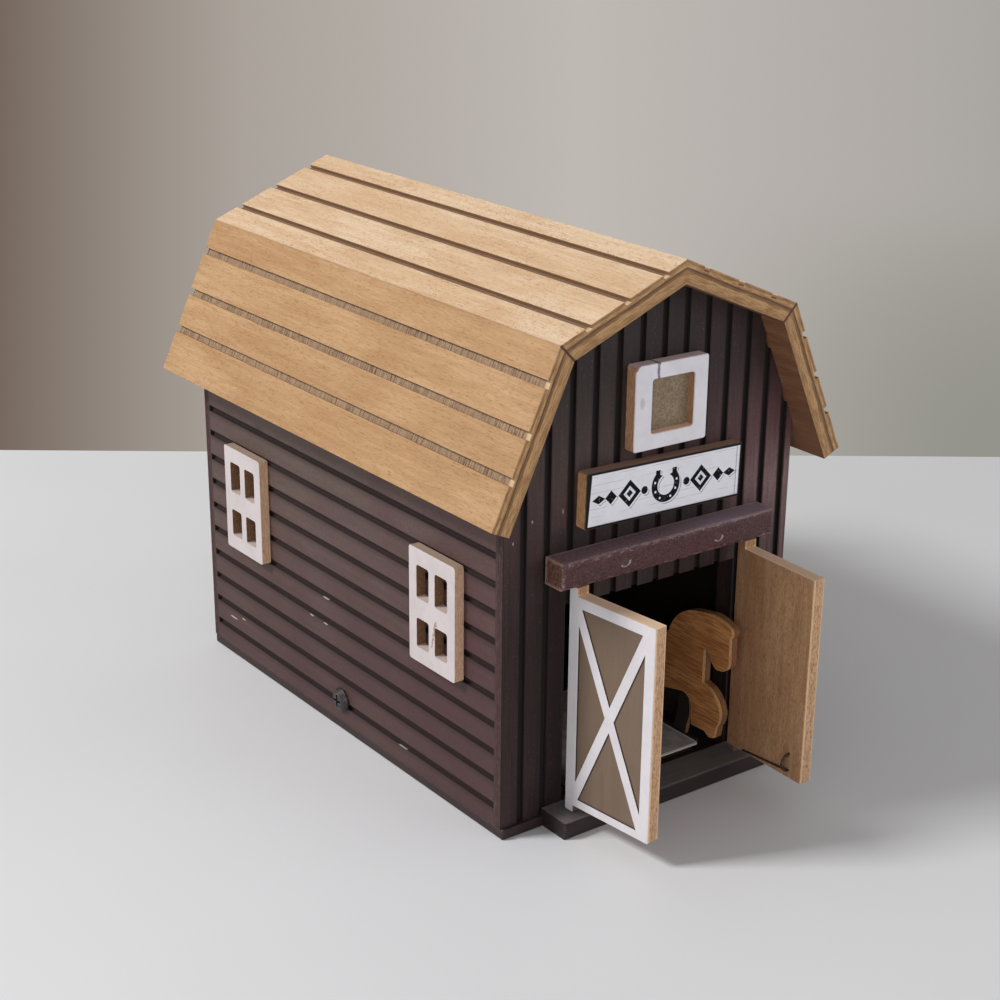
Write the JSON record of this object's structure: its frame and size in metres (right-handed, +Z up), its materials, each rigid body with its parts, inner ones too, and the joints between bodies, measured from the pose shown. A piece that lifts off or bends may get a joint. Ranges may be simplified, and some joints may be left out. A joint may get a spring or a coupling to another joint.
{
  "type": "toy barn with opening doors",
  "caption": "Wooden toy barn with a gambrel plank roof, die-cut windows, two hinged stable doors and a horse on a slide that comes out as the doors open.",
  "frame": {"origin": "on the table plane, under the centre of the four walls' footprint", "axes": "the doors and gable sign face -Y, +Y runs to the back along the ridge, +X is on the right seen from the front, +Z is up; the doors are stored open and the horse out"},
  "size_m": [0.1298, 0.2167, 0.1661],
  "materials": {
    "dark_painted_wood": "worn satin maroon-brown paint over plywood and solid wood",
    "roof_plywood": "bare plywood, pale and lightly varnished",
    "white_faced_wood": "white printed or painted face over bare wood edges",
    "brown_wood": "stained plywood with long grain",
    "bare_wood": "unfinished softwood",
    "white_sheet": "thin white sheet with a cut edge",
    "black_steel": "blackened screw",
    "plain_steel": "dull drawn wire"
  },
  "bodies": {
    "barn": {"base_panel": "dark_painted_wood", "threshold": "dark_painted_wood", "left_wall": "dark_painted_wood", "right_wall": "dark_painted_wood", "front_wall": "dark_painted_wood", "back_wall": "dark_painted_wood", "left_upper_roof": "roof_plywood", "right_upper_roof": "roof_plywood", "left_lower_roof": "roof_plywood", "right_lower_roof": "roof_plywood", "lintel": "dark_painted_wood", "lintel_brads": "plain_steel", "left_floor_cleat": "bare_wood", "right_floor_cleat": "bare_wood", "side_screws": "black_steel", "left_door_post": "bare_wood", "right_door_post": "bare_wood", "loft_window_frame": "white_faced_wood", "loft_window_backing": "brown_wood", "sign_board": "white_faced_wood", "left_front_window": "white_faced_wood", "left_rear_window": "white_faced_wood", "right_front_window": "white_faced_wood", "right_rear_window": "white_faced_wood", "left_guide_rail": "bare_wood", "right_guide_rail": "bare_wood"},
    "horse_slide": {"slide_board": "bare_wood", "slide_sheet": "white_sheet", "horse": "brown_wood", "horse_far_leg": "brown_wood"},
    "left_door_leaf": {"left_door": "white_faced_wood", "left_door_pins": "plain_steel", "left_pull_wire": "plain_steel"},
    "right_door_leaf": {"right_door": "white_faced_wood", "right_door_pins": "plain_steel", "right_pull_wire": "plain_steel"}
  },
  "joints": [
    {"name": "horse_slide_run", "type": "slide", "parent": "barn", "child": "horse_slide", "axis": [0, -1, 0], "range_m": [-0.03, 0.003]},
    {"name": "left_door_hinge", "type": "hinge", "parent": "barn", "child": "left_door_leaf", "pos_m": [-0.0314, -0.0915, 0.041], "axis": [0, 0, -1], "range_deg": [-84.01, 8.41]},
    {"name": "right_door_hinge", "type": "hinge", "parent": "barn", "child": "right_door_leaf", "pos_m": [0.0327, -0.0915, 0.041], "axis": [0, 0, 1], "range_deg": [-88.31, 8.84]}
  ],
  "couplings": [
    {"joint": "left_door_hinge", "follows": "horse_slide_run", "rad_per_m": 48.87},
    {"joint": "right_door_hinge", "follows": "horse_slide_run", "rad_per_m": 51.37}
  ]
}
